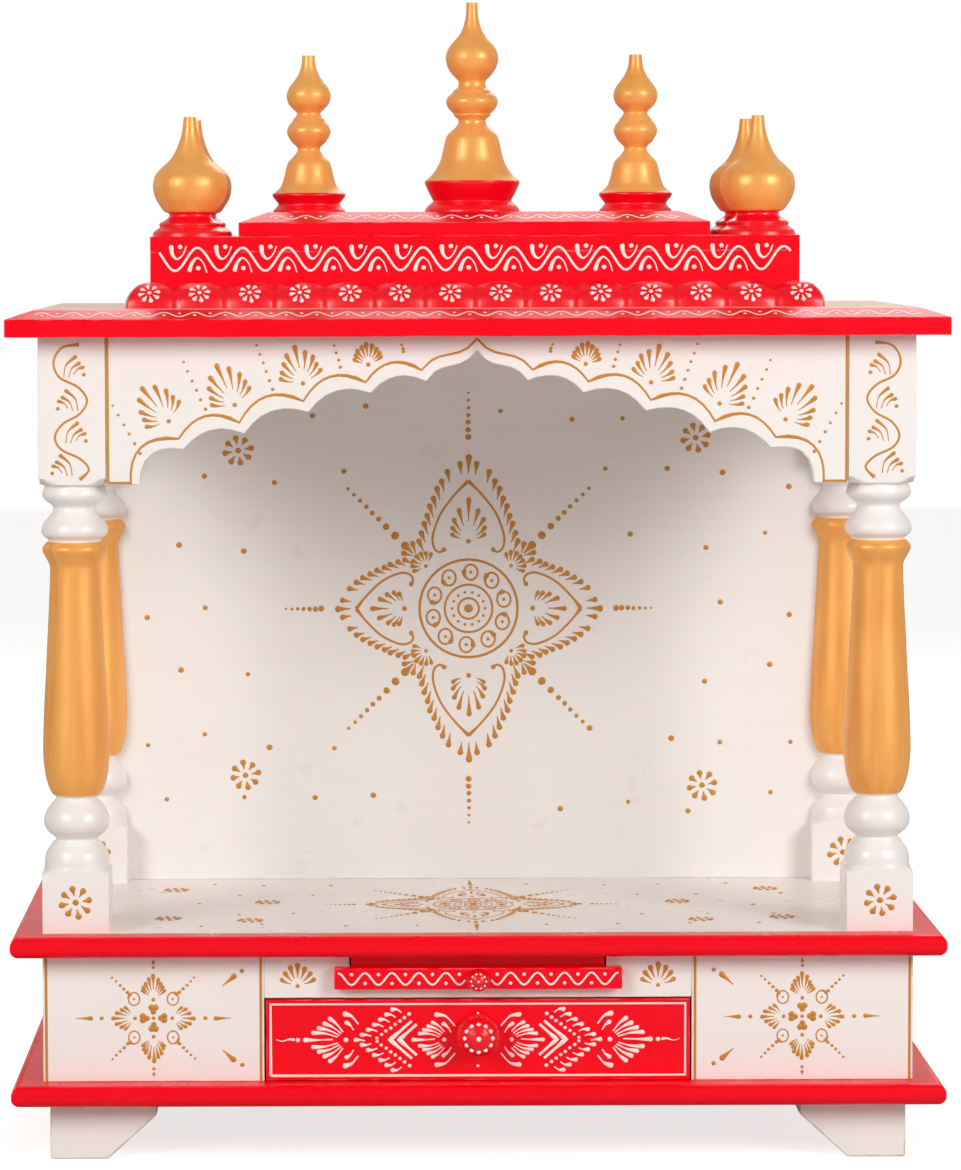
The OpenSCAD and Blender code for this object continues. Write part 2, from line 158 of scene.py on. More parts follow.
WHITE, WHITE_DEEP, WHITE_WORN = (0.90, 0.865, 0.845), (0.87, 0.83, 0.80), (0.72, 0.60, 0.48)
WHITES = {way: lacquer("white_lacquer_" + way, WHITE, WHITE_DEEP, WHITE_WORN, stroke)
          for way, stroke in (("x", ALONG_X), ("y", ALONG_Y), ("z", ALONG_Z))}


def settle(name, shape, materials, body, nodes=(), smooth_to=32):
    """Makes a finished piece of a bmesh: shading and materials; it is parented to its body, and the CAD parts it
    stands for are hidden.
    """
    mesh = bpy.data.meshes.new(name)
    shape.to_mesh(mesh)
    shape.free()
    for material in materials:
        mesh.materials.append(material)
    mesh.shade_smooth()
    mesh.set_sharp_from_angle(angle=math.radians(smooth_to))
    piece = bpy.data.objects.new(name, mesh)
    bpy.context.scene.collection.objects.link(piece)
    even = piece.modifiers.new("even_shading", "WEIGHTED_NORMAL")
    even.keep_sharp = True
    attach(piece, body)
    if nodes:
        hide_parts(*nodes)
    return piece


def eased(node, ease, rounds=2, corner=28):
    """A bmesh of a CAD board with its sharp corners rounded; 'edge' is 1 on the rounding."""
    shape = bmesh.new()
    shape.from_mesh(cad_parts[node].data)
    bmesh.ops.remove_doubles(shape, verts=shape.verts, dist=1e-5)
    bmesh.ops.dissolve_limit(shape, angle_limit=math.radians(1), verts=shape.verts, edges=shape.edges)
    edge = shape.faces.layers.float.new("edge")
    sharp = [e for e in shape.edges if len(e.link_faces) == 2
             and e.calc_face_angle() > math.radians(corner)]
    rounded = bmesh.ops.bevel(shape, geom=sharp, offset=ease, segments=rounds, profile=0.5,
                              affect="EDGES", clamp_overlap=True, material=-1)
    for face in rounded["faces"]:
        face[edge] = 1.0
    return shape


for node in ("foot_front_left", "foot_front_right", "foot_back_left", "foot_back_right"):
    settle(node + "_painted", eased(node, 1.2 * MM), [WHITES["x"]], "frame", [node])

# ---------------------------------------------------------------- plinth board
# A 14 mm board with a routed round nose, in glossy red enamel. The paint thins on the nose.

RED, RED_DEEP, RED_WORN = (0.93, 0.0, 0.012), (0.84, 0.0, 0.008), (0.95, 0.10, 0.12)
REDS = {way: lacquer("red_enamel_" + way, RED, RED_DEEP, RED_WORN, stroke, gloss=0.3, coat=coat, shine=shine)
        for way, stroke, coat, shine in (("x", ALONG_X, 0.06, 0.2), ("y", ALONG_Y, 0.06, 0.2),
                                         ("z", ALONG_Z, 0.2, 0.5))}

settle("plinth_board_painted", eased("plinth_board", 0.5 * MM, corner=40), [REDS["x"]], "frame",
       ["plinth_board"])

# ---------------------------------------------------------------- cabinet panels
# White panels around the drawer. Their ornament is cone paint, squeezed on in raised gold lines:
# each stroke is a half-round bead that tapers, and each dot a small dome.

CABINET = {"cabinet_front_left": "x", "cabinet_front_right": "x", "cabinet_front_rail": "x",
           "cabinet_side_left": "y", "cabinet_side_right": "y", "cabinet_back": "x"}
for node, way in CABINET.items():
    settle(node + "_painted", eased(node, 0.6 * MM), [WHITES[way]], "frame", [node])

hand = random.Random(7)
GOLD_LINE = lacquer("gold_cone_paint", (0.60, 0.26, 0.03), (0.50, 0.20, 0.02), (0.7, 0.4, 0.1),
                    (60, 60, 60), gloss=0.4, coat=0.1, marks=0.1, metallic=0.1)
PAINT_RISE = 0.45


def dot(u, v, r):
    """A round blob of cone paint."""
    return [[(u + r * s, v, r * math.sqrt(max(0.03, 1 - s * s))) for s in (-1, -0.7, 0, 0.7, 1)]]


def drop(u, v, angle, length, r, bend=0.0):
    """A teardrop: a thin tail at (u, v) that swells to a round head. bend curves it to the left."""
    angle, length = angle + hand.uniform(-0.04, 0.04), length * hand.uniform(0.93, 1.07)
    head = min(0.75, 1 - r / length)
    points = []
    for t, w in ((0, 0.16), (0.35 * head, 0.3), (0.7 * head, 0.62), (head, 1.0),
                 (head + 0.55 * r / length, 0.84), (head + 0.85 * r / length, 0.53), (head + r / length, 0.12)):
        a = angle + bend * (t - 0.5)
        points.append((u + math.cos(a) * length * t, v + math.sin(a) * length * t, r * w))
    return [points]


def line(points, r):
    """A drawn line of even width through the points."""
    return [[(u, v, r) for u, v in points]]


def dotted(a, b, count, r_start, r_end):
    """A row of dots from a to b that swell or shrink."""
    strokes = []
    for k in range(count):
        t = k / max(1, count - 1)
        strokes += dot(a[0] + (b[0] - a[0]) * t + hand.uniform(-0.2, 0.2),
                       a[1] + (b[1] - a[1]) * t + hand.uniform(-0.2, 0.2), r_start + (r_end - r_start) * t)
    return strokes


def smooth(points, steps=6):
    """The points joined by a Catmull-Rom curve."""
    ends = [points[0]] + points + [points[-1]]
    path = []
    for a, b, c, d in zip(ends, ends[1:], ends[2:], ends[3:]):
        for k in range(steps):
            t = k / steps
            path.append(tuple(0.5 * (2 * q + (s - p) * t + (2 * p - 5 * q + 4 * s - w) * t * t
                                     + (3 * q - p - 3 * s + w) * t ** 3) for p, q, s, w in zip(a, b, c, d)))
    return path + [points[-1]]


def hook(points, r):
    """A curved stroke: it starts in a round blob and thins out to its end."""
    path = smooth(points)
    last = len(path) - 1
    (u0, v0), (u1, v1) = path[0], path[1]
    step = math.hypot(u1 - u0, v1 - v0) / r
    cap = [(u0 + (u0 - u1) / step * t, v0 + (v0 - v1) / step * t, r * w)
           for t, w in ((1, 0.12), (0.85, 0.53), (0.55, 0.84))]
    return [cap + [(u, v, r * (1 - 0.72 * min(1, 1.6 * k / last))) for k, (u, v) in enumerate(path)]]


def spray(u, v, angle, count, spread, reach, side, r, gap=0.42, stem=0.0):
    """Teardrops that open from a dot: reach is the middle one's length, side the outermost one's."""
    strokes = dot(u, v, stem) if stem else []
    for k in range(count):
        s = 2 * k / (count - 1) - 1
        a = angle + s * spread
        far = side + (reach - side) * (1 - abs(s)) ** 1.35
        strokes += drop(u + math.cos(a) * far * gap, v + math.sin(a) * far * gap, a, far * (1 - gap),
                        r * (1 - 0.15 * abs(s)), bend=-0.4 * s)
    return strokes


def shift(strokes, du, dv, angle=0.0, grow=1.0):
    """The strokes grown, turned and moved."""
    c, s = math.cos(angle) * grow, math.sin(angle) * grow
    return [[(u * c - v * s + du, u * s + v * c + dv, r * grow) for u, v, r in stroke] for stroke in strokes]


def mirrored(strokes):
    """The strokes and their mirror image across the middle."""
    return strokes + [[(-u, v, r) for u, v, r in stroke] for stroke in strokes]


def paint(name, strokes, origin, right, up, material, body, rise=PAINT_RISE, wrap=None):
    """Lays strokes, given in millimetres, on the plane at origin spanned by right and up.

    wrap bends the plane: it turns (along right, along up, height) into a place in the same three."""
    curve = bpy.data.curves.new(name, "CURVE")
    curve.dimensions = "3D"
    curve.bevel_depth = 1.0
    curve.bevel_resolution = 1
    curve.use_fill_caps = True
    for stroke in strokes:
        spline = curve.splines.new("POLY")
        spline.points.add(len(stroke) - 1)
        for point, (u, v, r) in zip(spline.points, stroke):
            point.co = (u, v, 0, 1)
            point.radius = r
    holder = bpy.data.objects.new(name + "_line", curve)
    bpy.context.scene.collection.objects.link(holder)
    bpy.context.view_layer.update()
    mesh = bpy.data.meshes.new_from_object(holder)
    bpy.data.objects.remove(holder)
    right, up = Vector(right).normalized(), Vector(up).normalized()
    out = right.cross(up)
    place = Matrix((right, up, out)).transposed().to_4x4()
    place.translation = Vector(origin)
    shape = bmesh.new()
    shape.from_mesh(mesh)
    bpy.data.meshes.remove(mesh)
    bmesh.ops.remove_doubles(shape, verts=shape.verts, dist=1e-4)
    bmesh.ops.scale(shape, verts=shape.verts, vec=(MM, MM, MM * rise))
    if wrap:
        for vert in shape.verts:
            vert.co = wrap(*vert.co)
    bmesh.ops.transform(shape, matrix=place, verts=shape.verts)
    return settle(name, shape, [material], body, smooth_to=60)


def spade(u, v, angle):
    """A small heart with a stalk of one dot, pointing at the middle of the star."""
    strokes = dot(3.0, 1.4, 2.1) + dot(3.0, -1.4, 2.1) + drop(4.8, 0, math.pi, 6.2, 1.9) + dot(8.2, 0, 1.3)
    return shift(strokes, u, v, angle)


def loop(u, v, r, angle, thick=0.55):
    """A ring of thin line that starts in a thick blob, with a dot in it."""
    ring = [(u + r * math.cos(angle + math.radians(a)), v + 1.15 * r * math.sin(angle + math.radians(a)))
            for a in range(0, 361, 24)]
    return line(ring, thick) + hook([(p[0], p[1]) for p in ring[:5]], 2.4 * thick) + dot(u, v, 1.6 * thick)


def panel_star():
    """The star on a cabinet panel: four sprays, four loops, dotted diagonals."""
    strokes = dot(0, 0, 1.3)
    for k in range(4):
        a = k * math.pi / 2
        c, s = math.cos(a), math.sin(a)
        strokes += spade(c * 4.0, s * 4.0, a)
        strokes += spray(c * 13, s * 13, a, 9 if k % 2 else 7, 1.0, 18 if k % 2 else 16, 10.5, 1.45, gap=0.34)
        d = a + math.pi / 4
        c, s = math.cos(d), math.sin(d)
        strokes += loop(c * 18, s * 18, 3.7, d, 0.5)
        strokes += dotted((c * 24, s * 24), (c * 38, s * 38), 5, 1.25, 0.85)
    for side in (-1, 1):
        strokes += dot(side * 34, 0, 1.4) + drop(side * 51, 0, 0 if side < 0 else math.pi, 13, 1.5)
        strokes += dot(0, side * 33.5, 1.1) + drop(0, side * 39, -side * math.pi / 2, 3.4, 1.1)
    return strokes


def corner_strokes(side):
    """A teardrop and a dot in each corner of a panel, on the side next to the drawer."""
    strokes = []
    for up in (-1, 1):
        strokes += drop(side * 45, up * 21, math.atan2(up * 8, side * 9), 13, 2.0)
        strokes += dot(side * 58, up * 31, 1.5)
    return strokes


panel_low, panel_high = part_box("cabinet_front_left")
panel_half_w = (panel_high.x - panel_low.x) / 2 / MM
panel_half_h = (panel_high.z - panel_low.z) / 2 / MM
for node, side in (("cabinet_front_left", 1), ("cabinet_front_right", -1)):
    low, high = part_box(node)
    middle = (low + high) / 2
    borders = line([(-panel_half_w + 2.2, -panel_half_h), (-panel_half_w + 2.2, panel_half_h)], 0.9)
    borders += line([(panel_half_w - 2.2, -panel_half_h), (panel_half_w - 2.2, panel_half_h)], 0.9)
    paint(node + "_gold_star", borders + panel_star() + corner_strokes(side),
          (middle.x, low.y, middle.z), (1, 0, 0), (0, 0, 1), GOLD_LINE, "frame")

rail_low, rail_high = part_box("cabinet_front_rail")
for name, x in (("left", -1), ("right", 1)):
    paint("rail_gold_spray_" + name, spray(0, 0, math.pi / 2, 7, 1.25, 16.5, 13, 1.9, 0.34, 1.4), (x * 0.118, rail_low.y, rail_low.z + 8 * MM),
          (1, 0, 0), (0, 0, 1), GOLD_LINE, "frame")

for node, side in (("cabinet_side_left", -1), ("cabinet_side_right", 1)):
    low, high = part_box(node)
    middle = (low + high) / 2
    half = (high.y - low.y) / 2 / MM
    borders = line([(-half + 3, -panel_half_h), (-half + 3, panel_half_h)], 0.9)
    borders += line([(half - 3, -panel_half_h), (half - 3, panel_half_h)], 0.9)
    paint(node + "_gold_star", borders + panel_star(),
          (low.x if side < 0 else high.x, middle.y, middle.z), (0, side, 0), (0, 0, 1),
          GOLD_LINE, "frame")

# ---------------------------------------------------------------- drawer
# A red front on a box of bare softwood, with a turned ball knob. Its cone paint is white:
# a border line, and sprays and chevrons that mirror about the knob.

WHITE_LINE = lacquer("white_cone_paint", (0.93, 0.86, 0.83), (0.88, 0.74, 0.72), (0.9, 0.8, 0.8),
                     (60, 60, 60), gloss=0.4, coat=0.2, marks=0.1)
PINE = lacquer("bare_softwood", (0.62, 0.42, 0.22), (0.48, 0.29, 0.13), (0.66, 0.48, 0.28),
               (260, 14, 260), gloss=0.6, coat=0.0, marks=0.5)
PINE_ACROSS = lacquer("bare_softwood_across", (0.62, 0.42, 0.22), (0.48, 0.29, 0.13), (0.66, 0.48, 0.28),
                      (14, 260, 260), gloss=0.6, coat=0.0, marks=0.5)

settle("drawer_front_painted", eased("drawer_front", 0.8 * MM), [REDS["x"]], "drawer",
       ["drawer_front"])
for node in ("drawer_side_left", "drawer_side_right", "drawer_bottom"):
    settle(node + "_bare", eased(node, 0.5 * MM), [PINE], "drawer", [node])
settle("drawer_back_bare", eased("drawer_back", 0.5 * MM), [PINE_ACROSS], "drawer",
       ["drawer_back"])
settle("drawer_guides_bare", eased("drawer_guides", 0.5 * MM), [PINE], "frame",
       ["drawer_guides"])

low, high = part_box("drawer_front")
half_w, half_h = (high.x - low.x) / 2 / MM, (high.z - low.z) / 2 / MM
inset = 3.2


def chevron(apex, reach, rise, r):
    """A bent line that opens to the right of its apex, thickest at the apex."""
    return [[(apex + reach, rise, r), (apex + reach * 0.45, rise * 0.45, r), (apex + reach * 0.12, rise * 0.12, r * 1.7),
             (apex, 0, r * 2), (apex + reach * 0.12, -rise * 0.12, r * 1.7),
             (apex + reach * 0.45, -rise * 0.45, r), (apex + reach, -rise, r)]]


def leaf(tip, span, rise, r):
    """A pointed spray that opens to the right of its tip: one long drop and four on each side."""
    strokes = hook([(tip + 1, 0), (tip + 8, 0), (tip + 0.9 * span, 0.4)], r * 1.1)
    for up in (-1, 1):
        for k in range(1, 5):
            f = k / 4
            head = (tip + 2.5 + (span - 4) * f * 0.86, up * (1.6 + (rise - 1.6) * f))
            tail = (tip + span + 4.5 * f, up * (0.8 + 4.6 * f))
            strokes += hook([head, ((head[0] + tail[0]) / 2, (head[1] + tail[1]) / 2 + up * 0.9), tail], r)
    return strokes


def drawer_strokes():
    """The left half of the drawer's ornament, from the border to the knob."""
    strokes = hook([(-121, 0.3), (-124, 0.5), (-128, -0.7), (-132, 0.3)], 1.0) + dot(-118, 0, 1.5)
    strokes += leaf(-114, 21, 14, 1.5) + dot(-86.5, 0, 1.6)
    strokes += leaf(-43.5, 17, 11.5, 1.25) + dot(-22, 0, 1.4)
    for up in (-1, 1):
        strokes += hook([(-87, up * 17.2), (-82.5, up * 15.5), (-78.5, up * 10.5)], 1.8)
        strokes += hook([(-86, up * 11.5), (-83.5, up * 9.6), (-81.5, up * 6.5)], 1.5)
        strokes += hook([(-27, up * 16.6), (-21, up * 15.4), (-15, up * 9)], 1.6)
        strokes += hook([(-22.5, up * 10.5), (-19.5, up * 8), (-17.5, up * 4.8)], 1.4)
        for k in range(7):
            if k or up > 0:
                u, v = -80 + 4.0 * k, up * 3.35 * k
                strokes += hook([(u, v), (u + 2.9, v), (u + 6, v - up * (0.6 + 0.25 * k))], 1.5)
        strokes += dotted((-66.3, up * 1.2), (-45, up * 17), 8, 1.05, 1.25)
    strokes += dot(0, 17.4, 0.9) + dot(0, -17.4, 0.9)
    return strokes + chevron(-57.6, 14.2, 12.4, 0.85) + chevron(-51.6, 11.4, 10.2, 0.85)


frame_line = [(-half_w + inset, -half_h + inset), (half_w - inset, -half_h + inset),
              (half_w - inset, half_h - inset), (-half_w + inset, half_h - inset),
              (-half_w + inset, -half_h + inset)]
paint("drawer_white_ornament", line(frame_line, 0.9) + mirrored(drawer_strokes()),
      ((low.x + high.x) / 2, low.y, (low.z + high.z) / 2), (1, 0, 0), (0, 0, 1),
      WHITE_LINE, "drawer")


def turning(stations, steps, rings=56):
    """A bmesh spun about +Z through [height, radius] stations joined by half cosine waves."""
    shape = bmesh.new()
    outline = [shape.verts.new((0, 0, stations[0][0] * MM))]
    for (z0, r0), (z1, r1) in zip(stations, stations[1:]):
        for k in range(steps):
            t = k / steps
            r = r0 + (r1 - r0) * (1 - math.cos(math.pi * t)) / 2
            outline.append(shape.verts.new((r * MM, 0, (z0 + (z1 - z0) * t) * MM)))
    z, r = stations[-1]
    outline += [shape.verts.new((r * MM, 0, z * MM)), shape.verts.new((0, 0, z * MM))]
    edges = [shape.edges.new(pair) for pair in zip(outline, outline[1:])]
    bmesh.ops.spin(shape, geom=outline + edges, cent=(0, 0, 0), axis=(0, 0, 1), angle=2 * math.pi,
                   steps=rings, use_merge=True)
    bmesh.ops.remove_doubles(shape, verts=shape.verts, dist=2e-6)
    bmesh.ops.recalc_face_normals(shape, faces=shape.faces)
    return shape


def ball_knob(node, body, dots):
    """A red ball on a short neck, with a ring of white dots around a middle dot on its face."""
    low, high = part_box(node)
    radius, reach = (high.x - low.x) / 2 / MM, (high.y - low.y) / MM
    ball = [(reach - radius + radius * math.sin(math.radians(a)), radius * math.cos(math.radians(a)))
            for a in (-44, -25, -8, 8, 25, 42, 58, 74, 90)]
    shape = turning([(0, ball[0][1])] + ball[:-1] + [(reach, 0.02)], 3)
    seat = Vector(((low.x + high.x) / 2, high.y, (low.z + high.z) / 2))
    bmesh.ops.transform(shape, verts=shape.verts,
                        matrix=Matrix.Translation(seat) @ Matrix.Rotation(math.pi / 2, 4, "X"))
    settle(node + "_turned", shape, [REDS["z"]], body, [node])
    tilt = math.radians(40)
    ring = []
    for k in range(dots):
        a = 2 * math.pi * k / dots
        ring += dot(math.cos(a) * radius * math.sin(tilt), math.sin(a) * radius * math.sin(tilt), radius * 0.1)
    paint(node + "_white_ring", ring, (seat.x, high.y - (reach - radius * (1 - math.cos(tilt))) * MM, seat.z),
          (1, 0, 0), (0, 0, 1), WHITE_LINE, body)
    paint(node + "_white_middle", dot(0, 0, radius * 0.12), (seat.x, high.y - (reach - 0.1) * MM, seat.z),
          (1, 0, 0), (0, 0, 1), WHITE_LINE, body)


ball_knob("drawer_knob", "drawer", 12)

# ---------------------------------------------------------------- pull-out tray
# A board that slides on two battens under the shrine's floor, with a red strip and knob in front.
# Its front edge is red too; a white wave with dots runs along the strip.

tray = eased("tray_board", 0.6 * MM)
low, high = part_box("tray_board")
for face in tray.faces:
    face.material_index = 1 if face.calc_center_median().y < low.y + 1.5 * MM else 0
settle("tray_board_painted", tray, [WHITES["x"], REDS["x"]], "tray", ["tray_board"])
settle("tray_front_painted", eased("tray_front", 0.7 * MM), [REDS["x"]], "tray", ["tray_front"])
settle("tray_runners_bare", eased("tray_runners", 0.4 * MM), [PINE], "frame", ["tray_runners"])
ball_knob("tray_knob", "tray", 10)

low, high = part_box("tray_front")
half_w = (high.x - low.x) / 2 / MM
period = 17.6


def tray_wave():
    """The wave from the strip's end to the knob, with a dot in each of its bends."""
    span = half_w - 11
    start = -half_w + 2.5
    points = [(start + span * k / 72, 3.9 * math.cos(2 * math.pi * span * k / 72 / period)) for k in range(73)]
    strokes = line(points, 0.6)
    for k in range(1, int(2 * span / period) + 1):
        strokes += dot(start + period / 2 * k, 2.9 if k % 2 else -2.9, 1.15)
    return strokes


paint("tray_white_wave", mirrored(tray_wave()), ((low.x + high.x) / 2, low.y, (low.z + high.z) / 2),
      (1, 0, 0), (0, 0, 1), WHITE_LINE, "tray")

# ---------------------------------------------------------------- base board
# The shrine's floor: a round-nosed board, white inside the line of the pillars and red outside it,
# with a gold mandala that the pillars and the back panel frame.

cabinet_low, cabinet_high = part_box("cabinet_front_left")[0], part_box("cabinet_front_right")[1]
low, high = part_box("base_board")
floor_board = eased("base_board", 0.5 * MM, corner=40)
rims = [((cabinet_low.x, 0, 0), (-1, 0, 0)), ((cabinet_high.x, 0, 0), (1, 0, 0)),
        ((0, cabinet_low.y, 0), (0, -1, 0))]
for point, way in rims:
    bmesh.ops.bisect_plane(floor_board, geom=floor_board.verts[:] + floor_board.edges[:] + floor_board.faces[:],
                           plane_co=point, plane_no=way)
for face in floor_board.faces:
    middle = face.calc_center_median()
    flat = abs(face.normal.z) > 0.9 and middle.z > high.z - 0.5 * MM
    inside = cabinet_low.x < middle.x < cabinet_high.x and middle.y > cabinet_low.y
    face.material_index = 1 if flat and inside else 0
settle("base_board_painted", floor_board, [REDS["x"], WHITES["x"]], "frame", ["base_board"])


def daisy(u, v, r, petals=8):
    """A small flower: short teardrops around a dot."""
    strokes = dot(u, v, r * 0.19)
    for k in range(petals):
        a = 2 * math.pi * k / petals + 0.2
        strokes += drop(u + math.cos(a) * r * 0.4, v + math.sin(a) * r * 0.4, a, r * 0.6, r * 0.2)
    return strokes


def curl(points, r):
    """A smooth line through a few points, thick at both ends."""
    path = smooth(points)
    last = len(path) - 1
    return [[(u, v, r * (1 + 0.9 * max(0, 1 - min(k, last - k) / 4))) for k, (u, v) in enumerate(path)]]


def lobe(squeeze):
    """One pointed lobe of the mandala, pointing along +v; squeeze shortens it."""
    half = [(17.3, 41.6), (20.5, 39.9), (24.3, 43), (25, 52), (19.5, 67), (9.5, 80.5), (0, 90)]
    strokes = mirrored(curl(half, 0.8) + dot(17.3, 41.6, 1.7))
    strokes += spray(0, 47.5, math.pi / 2, 9, 1.22, 33, 14, 1.9, 0.42, 1.8)
    for k in range(10):
        t = k / 9
        a = math.radians(66 + 16 * t)
        u, v = 36 * (1 - t) ** 0.62 + 6.5 * t, 50 + 55 * t
        strokes += mirrored(drop(u - 10.5 * math.cos(a), v - 10.5 * math.sin(a), a, 10.5, 2.1))
    strokes += drop(0, 95, math.pi / 2, 16, 2.4)
    strokes += dotted((0, 121), (0, 152), 7, 2.2, 0.9)
    return [[(u, 36 + (v - 36) * squeeze, r) for u, v, r in stroke] for stroke in strokes]


def mandala():
    """Ringed centre, four lobes, four leaf sprays on the diagonals, and dotted rays."""
    def circle(r, w):
        return line([(r * math.cos(math.radians(a)), r * math.sin(math.radians(a)))
                     for a in range(0, 361, 10)], w)
    strokes = dot(0, 0, 3.2) + circle(7.3, 0.8) + circle(16.8, 0.8) + circle(34.6, 0.9)
    for k in range(14):
        a = 2 * math.pi * k / 14
        strokes += dot(11.6 * math.cos(a), 11.6 * math.sin(a), 1.1)
    for k in range(10):
        a = 2 * math.pi * k / 10 + 0.25
        strokes += loop(25.7 * math.cos(a), 25.7 * math.sin(a), 4.8, a + math.pi / 2, 0.75)
    for k in range(4):
        strokes += shift(lobe(0.8 if k % 2 else 1.0), 0, 0, k * math.pi / 2)
        leaves = spray(0, 42.5, math.pi / 2, 7, 1.25, 11.5, 11, 1.8, 0.34, 1.4)
        leaves += drop(0, 55, math.pi / 2, 11, 3.0)
        leaves += drop(1.2, 54, math.radians(60), 9, 2.0) + drop(-1.2, 54, math.radians(120), 9, 2.0)
        leaves += dot(0, 73, 2.9) + dot(0, 82, 2.4) + dotted((0, 89.5), (0, 120), 6, 1.9, 1.3)
        strokes += shift(leaves, 0, 0, k * math.pi / 2 + math.pi / 4)
    return strokes


def scattered(half_u, half_v, pitch, clear, r):
    """Dots spread evenly over a field by hand, kept off the mandala in its middle."""
    strokes = []
    rows, columns = int(half_v / pitch), int(half_u / pitch)
    for i in range(-columns, columns + 1):
        for j in range(-rows, rows + 1):
            u = (i + (j % 2) * 0.5) * pitch + hand.uniform(-7, 7)
            v = j * pitch + hand.uniform(-7, 7)
            if abs(u) + abs(v) > clear and math.hypot(u, v) > clear * 0.62 and abs(u) < half_u:
                strokes += dot(u, v, r * hand.uniform(0.8, 1.15))
    return strokes


floor_middle = ((cabinet_low.x + cabinet_high.x) / 2, (cabinet_low.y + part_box("back_panel")[0].y) / 2, high.z)
floor_paint = shift(mandala(), 0, 0, 0, 0.78) + scattered(225, 105, 46, 135, 1.5)
for u, v in ((-205, 72), (205, 72), (-150, -72), (150, -72), (-205, -62), (205, -62), (-140, 12), (140, 12)):
    floor_paint += daisy(u, v, 9)
paint("floor_gold_mandala", floor_paint, floor_middle, (1, 0, 0), (0, 1, 0), GOLD_LINE, "frame")

# ---------------------------------------------------------------- pillars
# Four pillars turned from 44 mm square stock, left square at both ends. The shaft is gold,
# the turnings above and below it and the blocks are white, parted at the narrow grooves.

GOLD = lacquer("gold_lacquer", (1.0, 0.47, 0.12), (0.84, 0.30, 0.05), (0.95, 0.62, 0.28),
               ALONG_Z, gloss=0.38, coat=0.1, marks=0.5, metallic=0.25)
pillar_low, pillar_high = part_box("pillar_front_left")
stock = (pillar_high.x - pillar_low.x) / 2 / MM
tall = (pillar_high.z - pillar_low.z) / MM
FOOT_BLOCK, TOP_BLOCK = 41.0, 96.0
gold_from, gold_to = 89.2, 256.0
neck_top = tall - TOP_BLOCK
BLOCK_R = 1.39
LOWER_TURNING = [(42.5, 0.97), (47, 0.965), (52, 0.91), (55.5, 0.80), (57.3, 0.745), (58.3, 0.735), (59.2, 0.66),
                 (60.4, 0.625), (62.1, 0.70), (65.4, 0.875), (68.5, 0.955), (71.9, 0.985), (76, 0.955),
                 (79.5, 0.885), (83.8, 0.74), (86.2, 0.645), (87.6, 0.615), (88.4, 0.64)]
GOLD_SHAFT = [(gold_from, 0.70), (91.5, 0.775), (96, 0.86), (104, 0.945), (116, 0.995), (130, 0.985), (148.7, 0.95),
              (170.4, 0.89), (192, 0.84), (213.7, 0.785), (235.3, 0.745), (241, 0.765), (245.5, 0.87),
              (250, 0.965), (253, 0.94), (255.3, 0.84)]
UPPER_TURNING = [(gold_to, 0.785), (257.5, 0.80), (258.8, 0.88), (260.5, 0.96), (263, 0.99), (266, 0.965),
                 (269, 0.89), (272, 0.78), (275, 0.675), (277.5, 0.635), (279.5, 0.66), (281.5, 0.78), (283.5, 0.895),
                 (286.5, 0.96), (289, 0.94), (neck_top - 1.5, 0.88)]
TURNED = smooth([(z, stock * r) for z, r in LOWER_TURNING + GOLD_SHAFT + UPPER_TURNING], 3)
TURNED = ([(0, stock * BLOCK_R), (FOOT_BLOCK - 1.5, stock * BLOCK_R)] + TURNED
          + [(neck_top, stock * 1.1), (neck_top + 4, stock * BLOCK_R), (tall, stock * BLOCK_R)])

for node in ("pillar_front_left", "pillar_front_right", "pillar_back_left", "pillar_back_right"):
    low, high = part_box(node)
    shape = turning(TURNED, 1, rings=72)
    for vert in shape.verts:
        vert.co.x = max(-stock * MM, min(stock * MM, vert.co.x))
        vert.co.y = max(-stock * MM, min(stock * MM, vert.co.y))
    for face in shape.faces:
        height = face.calc_center_median().z / MM
        face.material_index = 1 if gold_from < height < gold_to else 0
    bmesh.ops.translate(shape, verts=shape.verts, vec=((low.x + high.x) / 2, (low.y + high.y) / 2, low.z))
    settle(node + "_turned", shape, [WHITES["z"], GOLD], "frame", [node], smooth_to=40)

block_middle = FOOT_BLOCK / 2
top_middle = tall - TOP_BLOCK / 2


def vine():
    """The winding stem on a pillar's top block, with curved leaves in its bends."""
    stem = [(5, 43), (-6, 41), (-11.5, 32), (-8, 22), (4, 15.5), (10, 7), (5, -2), (-6, -8.5), (-11, -17),
            (-7, -25), (5, -31), (10.8, -38), (5, -44.5)]
    strokes = curl(stem, 0.75)
    for u, v, side in ((-5, 22, 1), (4, 0, -1), (-4, -21, 1), (0, -42, -1)):
        for k in range(3):
            tail = (u + side * 3.2 * k, v + 0.8 * k * (k - 1))
            head = (tail[0] + side * (7.5 - 0.8 * k), tail[1] + 13 - 4.2 * k)
            strokes += hook([head, (tail[0] + side * (1.6 + 0.5 * k), (tail[1] + head[1]) / 2 + 1.2), tail], 1.3)
        strokes += dot(u + side * 13, v + 1.5, 1.3)
    return strokes


for node, side, front in (("pillar_front_left", -1, True), ("pillar_front_right", 1, True),
                          ("pillar_back_left", -1, False), ("pillar_back_right", 1, False)):
    low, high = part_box(node)
    middle = (low + high) / 2
    outer = low.x if side < 0 else high.x
    blocks = {"front": ((middle.x, low.y), (1, 0, 0)), "outer": ((outer, middle.y), (0, side, 0))}
    for face, ((x, y), right) in blocks.items():
        paint(node + "_daisy_" + face, daisy(0, 0, 11), (x, y, low.z + block_middle * MM), right, (0, 0, 1),
              GOLD_LINE, "frame")
        if front or face == "outer":
            flip = -1 if side > 0 and face == "front" else 1
            leaves = [[(flip * u, v, r) for u, v, r in stroke] for stroke in vine()]
            paint(node + "_vine_" + face, leaves, (x, y, low.z + top_middle * MM), right, (0, 0, 1),
                  GOLD_LINE, "frame")

